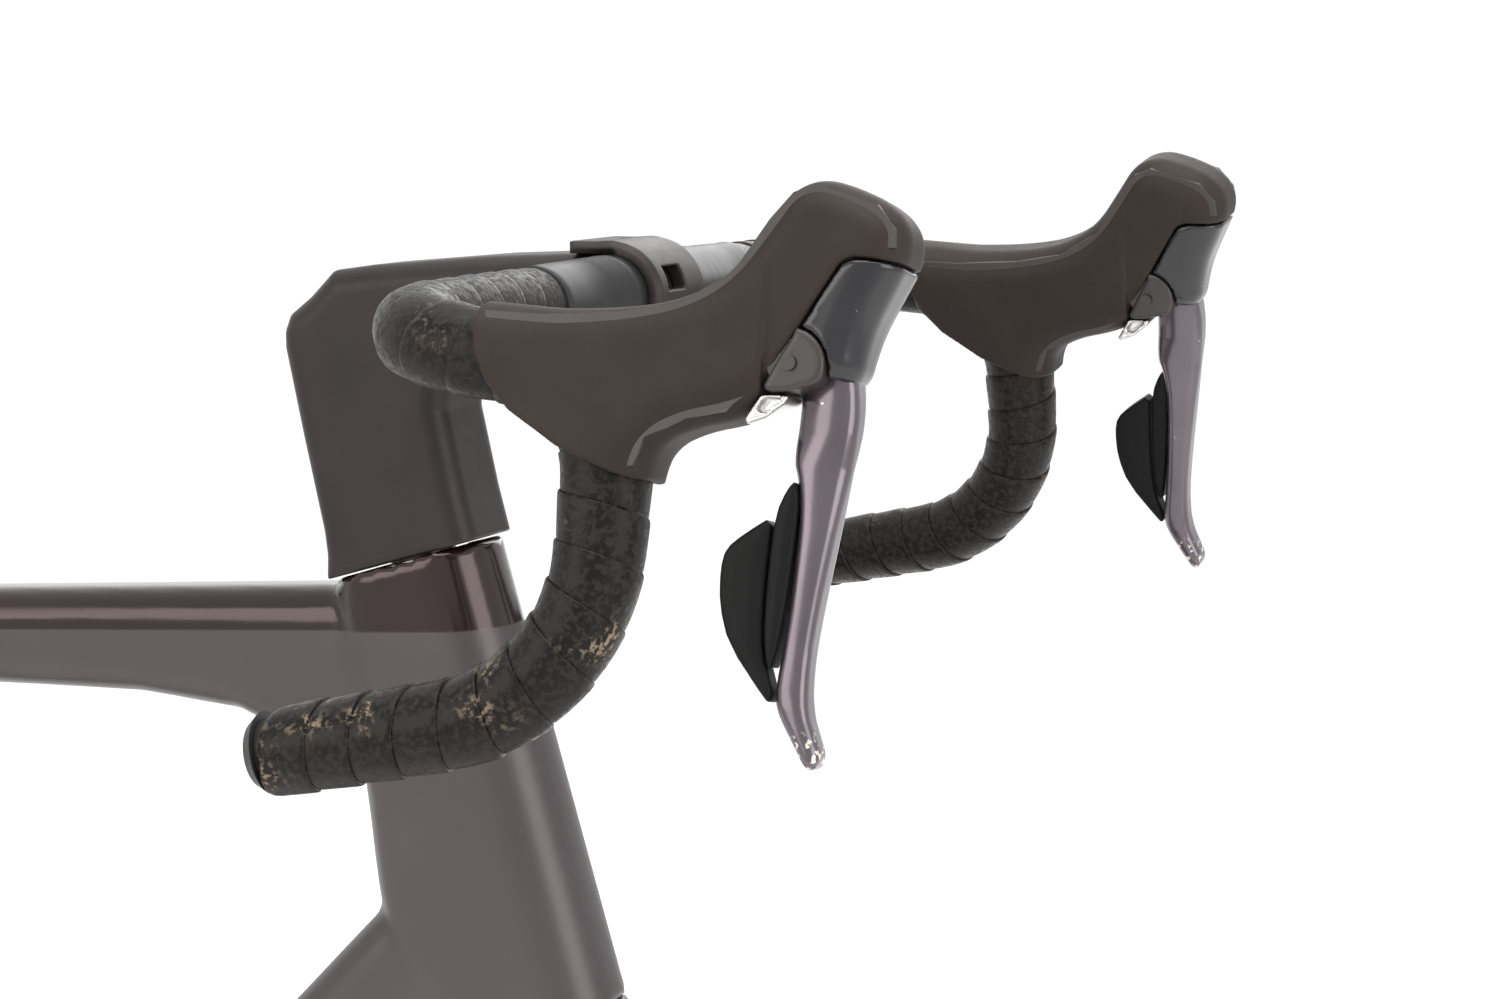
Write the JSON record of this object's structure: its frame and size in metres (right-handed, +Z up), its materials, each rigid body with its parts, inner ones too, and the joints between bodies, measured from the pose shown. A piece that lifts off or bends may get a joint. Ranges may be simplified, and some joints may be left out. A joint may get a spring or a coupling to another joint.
{
  "type": "road bicycle",
  "caption": "Drop-bar disc-brake road bicycle: steering fork and bar, spinning wheels and cranks, pivoting brake levers with shift buttons.",
  "frame": {"origin": "on the ground, midway between the two wheels", "axes": "+X forwards, +Y to the rider's left, +Z up"},
  "size_m": [1.688, 0.5222, 1.0415],
  "materials": {
    "frame_paint": "satin metallic grey-mauve lacquer over carbon, gloss dark brown on top",
    "carbon": "dark satin carbon",
    "tape": "mottled embossed bar tape",
    "hood_rubber": "matte brown-black rubber",
    "lever_gloss": "glossy metallic mauve-black",
    "button": "matt black, finely textured",
    "bracket": "moulded dark plastic",
    "tyre": "matt tread",
    "steel": "stainless",
    "dark_steel": "dark coated",
    "alloy": "anodised dark grey",
    "chain": "nickel plated",
    "saddle": "black synthetic cover",
    "plastic": "black",
    "pad": "brake compound on a steel back"
  },
  "bodies": {
    "frame": {"frame": "frame_paint", "headset_bearings": "steel", "bottom_bracket": "alloy", "rear_caliper": "alloy", "rear_axle": "alloy", "rear_derailleur": "alloy", "derailleur_cage": "alloy", "front_derailleur": "alloy", "chain": "chain"},
    "seat": {"seatpost": "carbon", "rail_clamp": "alloy", "saddle_rails": "dark_steel", "saddle": "saddle"},
    "front_end": {"fork": "frame_paint", "steerer_plug": "alloy", "steerer_cover": "carbon", "stem": "carbon", "stem_faceplate": "carbon", "stem_bolts": "dark_steel", "handlebar": "carbon", "bar_end_plugs": "plastic", "right_bar_tape": "tape", "left_bar_tape": "tape", "right_bracket": "bracket", "left_bracket": "bracket", "right_hood": "hood_rubber", "left_hood": "hood_rubber", "front_caliper": "alloy", "front_axle": "alloy"},
    "front_wheel": {"front_tyre": "tyre", "front_rim": "carbon", "front_spokes": "dark_steel", "front_hub": "alloy", "front_rotor": "steel"},
    "rear_wheel": {"rear_tyre": "tyre", "rear_rim": "carbon", "rear_spokes": "dark_steel", "rear_hub": "alloy", "rear_rotor": "steel"},
    "crankset": {"right_crank": "alloy", "left_crank": "alloy", "chainrings": "alloy"},
    "cassette": {"cassette": "steel"},
    "guide_pulley": {"guide_pulley": "plastic"},
    "tension_pulley": {"tension_pulley": "plastic"},
    "right_pedal": {"right_pedal": "plastic"},
    "left_pedal": {"left_pedal": "plastic"},
    "right_lever": {"right_lever": "lever_gloss", "right_lever_cap": "lever_gloss"},
    "left_lever": {"left_lever": "lever_gloss", "left_lever_cap": "lever_gloss"},
    "right_upshift": {"right_upshift_button": "button"},
    "left_upshift": {"left_upshift_button": "button"},
    "right_downshift": {"right_downshift_paddle": "button"},
    "left_downshift": {"left_downshift_paddle": "button"},
    "front_inner_pad": {"front_inner_pad": "pad"},
    "front_outer_pad": {"front_outer_pad": "pad"},
    "rear_inner_pad": {"rear_inner_pad": "pad"},
    "rear_outer_pad": {"rear_outer_pad": "pad"}
  },
  "joints": [
    {"name": "steering", "type": "hinge", "parent": "frame", "child": "front_end", "pos_m": [0.3579, 0, 0.68069], "axis": [-0.284, 0, 0.9588], "range_deg": [-55, 55]},
    {"name": "seatpost_height", "type": "slide", "parent": "frame", "child": "seat", "axis": [-0.284, 0, 0.9588], "range_m": [0, 0.04]},
    {"name": "front_wheel_spin", "type": "hinge", "parent": "front_end", "child": "front_wheel", "pos_m": [0.505, 0, 0.339], "axis": [0, 1, 0], "continuous": true},
    {"name": "rear_wheel_spin", "type": "hinge", "parent": "frame", "child": "rear_wheel", "pos_m": [-0.505, 0, 0.339], "axis": [0, 1, 0], "continuous": true},
    {"name": "crank_spin", "type": "hinge", "parent": "frame", "child": "crankset", "pos_m": [-0.10137, 0, 0.267], "axis": [0, 1, 0], "continuous": true},
    {"name": "cassette_spin", "type": "hinge", "parent": "frame", "child": "cassette", "pos_m": [-0.505, 0, 0.339], "axis": [0, 1, 0], "continuous": true},
    {"name": "guide_pulley_spin", "type": "hinge", "parent": "frame", "child": "guide_pulley", "pos_m": [-0.492, 0, 0.272], "axis": [0, 1, 0], "continuous": true},
    {"name": "tension_pulley_spin", "type": "hinge", "parent": "frame", "child": "tension_pulley", "pos_m": [-0.472, 0, 0.21], "axis": [0, 1, 0], "continuous": true},
    {"name": "right_pedal_spin", "type": "hinge", "parent": "crankset", "child": "right_pedal", "pos_m": [0.07113, 0, 0.267], "axis": [0, 1, 0], "continuous": true},
    {"name": "left_pedal_spin", "type": "hinge", "parent": "crankset", "child": "left_pedal", "pos_m": [-0.27387, 0, 0.267], "axis": [0, 1, 0], "continuous": true},
    {"name": "right_brake_lever", "type": "hinge", "parent": "front_end", "child": "right_lever", "pos_m": [0.55794, -0.21049, 0.97771], "axis": [-0.0341, 0.9776, -0.2078], "range_deg": [0, 18], "stiffness_Nm_per_rad": 0.6, "springref_deg": -34.38},
    {"name": "left_brake_lever", "type": "hinge", "parent": "front_end", "child": "left_lever", "pos_m": [0.55794, 0.21049, 0.97771], "axis": [0.0341, 0.9776, 0.2078], "range_deg": [0, 18], "stiffness_Nm_per_rad": 0.6, "springref_deg": -34.38},
    {"name": "right_upshift_press", "type": "hinge", "parent": "right_lever", "child": "right_upshift", "pos_m": [0.55952, -0.22138, 0.92626], "axis": [0.0073, -0.2077, -0.9782], "range_deg": [0, 4], "stiffness_Nm_per_rad": 0.4, "springref_deg": -8.59},
    {"name": "left_upshift_press", "type": "hinge", "parent": "left_lever", "child": "left_upshift", "pos_m": [0.55952, 0.22138, 0.92626], "axis": [-0.0073, -0.2077, 0.9782], "range_deg": [0, 4], "stiffness_Nm_per_rad": 0.4, "springref_deg": -8.59},
    {"name": "right_downshift_press", "type": "hinge", "parent": "right_lever", "child": "right_downshift", "pos_m": [0.55952, -0.22138, 0.92626], "axis": [0.0073, -0.2077, -0.9782], "range_deg": [0, 4], "stiffness_Nm_per_rad": 0.4, "springref_deg": -8.59},
    {"name": "left_downshift_press", "type": "hinge", "parent": "left_lever", "child": "left_downshift", "pos_m": [0.55952, 0.22138, 0.92626], "axis": [-0.0073, -0.2077, 0.9782], "range_deg": [0, 4], "stiffness_Nm_per_rad": 0.4, "springref_deg": -8.59},
    {"name": "front_inner_pad_travel", "type": "slide", "parent": "front_end", "child": "front_inner_pad", "axis": [0, 1, 0], "range_m": [0, 0.0003]},
    {"name": "front_outer_pad_travel", "type": "slide", "parent": "front_end", "child": "front_outer_pad", "axis": [0, -1, 0], "range_m": [0, 0.0003]},
    {"name": "rear_inner_pad_travel", "type": "slide", "parent": "frame", "child": "rear_inner_pad", "axis": [0, 1, 0], "range_m": [0, 0.0003]},
    {"name": "rear_outer_pad_travel", "type": "slide", "parent": "frame", "child": "rear_outer_pad", "axis": [0, -1, 0], "range_m": [0, 0.0003]}
  ],
  "couplings": [
    {"joint": "cassette_spin", "follows": "crank_spin", "ratio": 3.4667},
    {"joint": "guide_pulley_spin", "follows": "crank_spin", "ratio": -4.7273},
    {"joint": "tension_pulley_spin", "follows": "crank_spin", "ratio": 4.7273},
    {"joint": "front_inner_pad_travel", "follows": "left_brake_lever", "m_per_rad": 0.0009231},
    {"joint": "front_outer_pad_travel", "follows": "left_brake_lever", "m_per_rad": 0.0009231},
    {"joint": "rear_inner_pad_travel", "follows": "right_brake_lever", "m_per_rad": 0.0009231},
    {"joint": "rear_outer_pad_travel", "follows": "right_brake_lever", "m_per_rad": 0.0009231}
  ]
}
